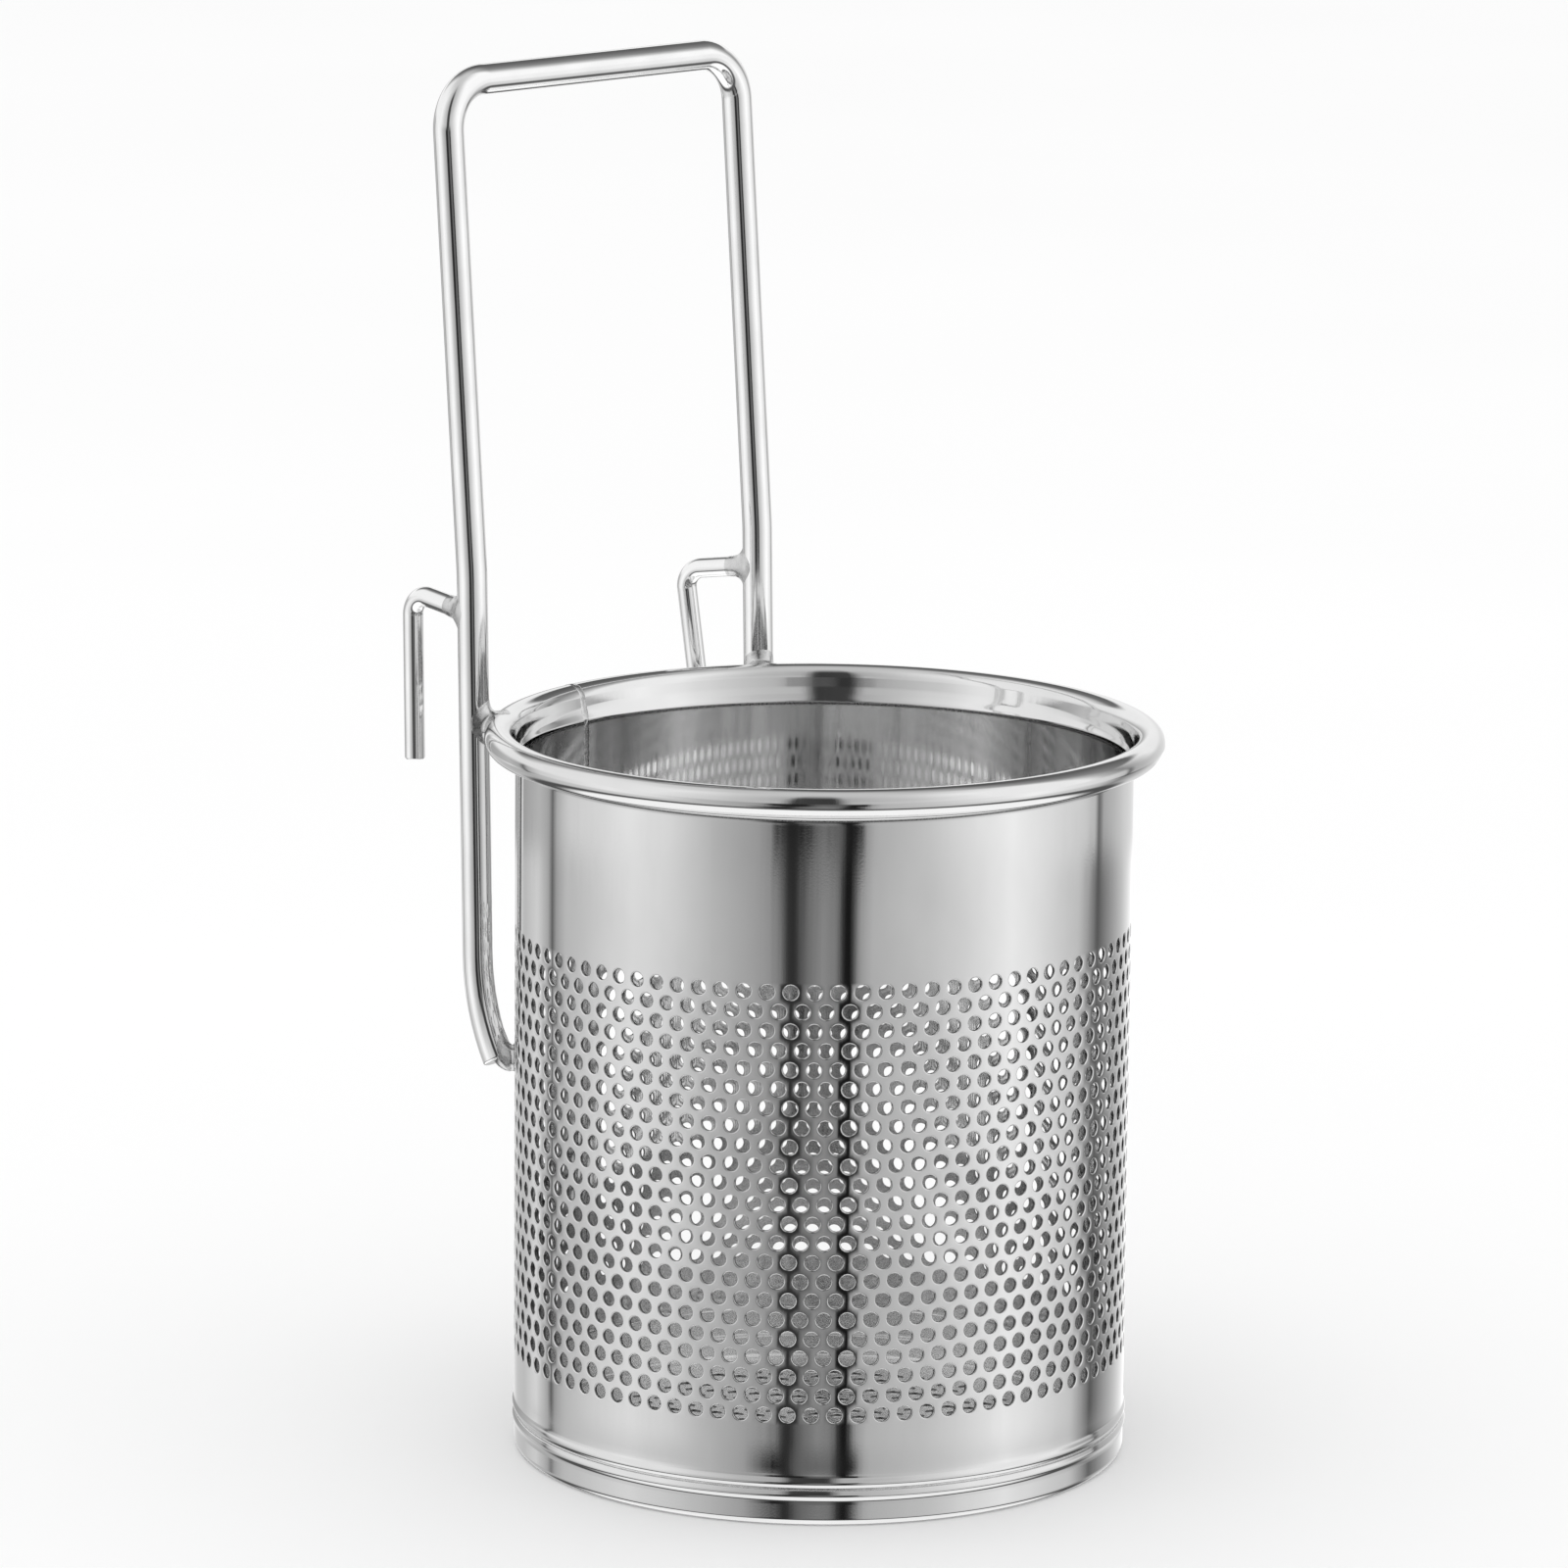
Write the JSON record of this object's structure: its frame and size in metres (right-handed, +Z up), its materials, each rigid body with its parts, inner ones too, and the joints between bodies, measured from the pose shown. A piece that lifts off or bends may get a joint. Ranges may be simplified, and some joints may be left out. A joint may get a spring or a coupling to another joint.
{
  "type": "basket strainer",
  "caption": "Deep round strainer basket of perforated stainless sheet with a rolled rim, a tall bent-wire handle and hooks that hang it on a pot's rim.",
  "frame": {"origin": "centre of the flat underside of the base, on the basket's axis", "axes": "+Z up along the basket's axis, +Y towards the handle side, where the uprights and hooks are, +X to the right seen from the side opposite the handle"},
  "size_m": [0.132, 0.1415, 0.269],
  "materials": {
    "polished_sheet": "mirror-polished stainless sheet with faint upright rolling lines",
    "drawn_wire": "electropolished stainless wire with fine draw marks along its length",
    "weld_metal": "lightly dressed stainless weld, slightly rough"
  },
  "bodies": {
    "root": {"basket_wall": "polished_sheet", "rim_wire": "drawn_wire", "base_pan": "polished_sheet", "base_joint_weld": "weld_metal", "side_seam_weld": "weld_metal", "handle_frame": "drawn_wire", "left_hook": "drawn_wire", "right_hook": "drawn_wire", "left_hook_weld": "weld_metal", "right_hook_weld": "weld_metal", "left_rim_weld": "weld_metal", "right_rim_weld": "weld_metal", "left_foot_weld": "weld_metal", "right_foot_weld": "weld_metal"}
  },
  "joints": []
}
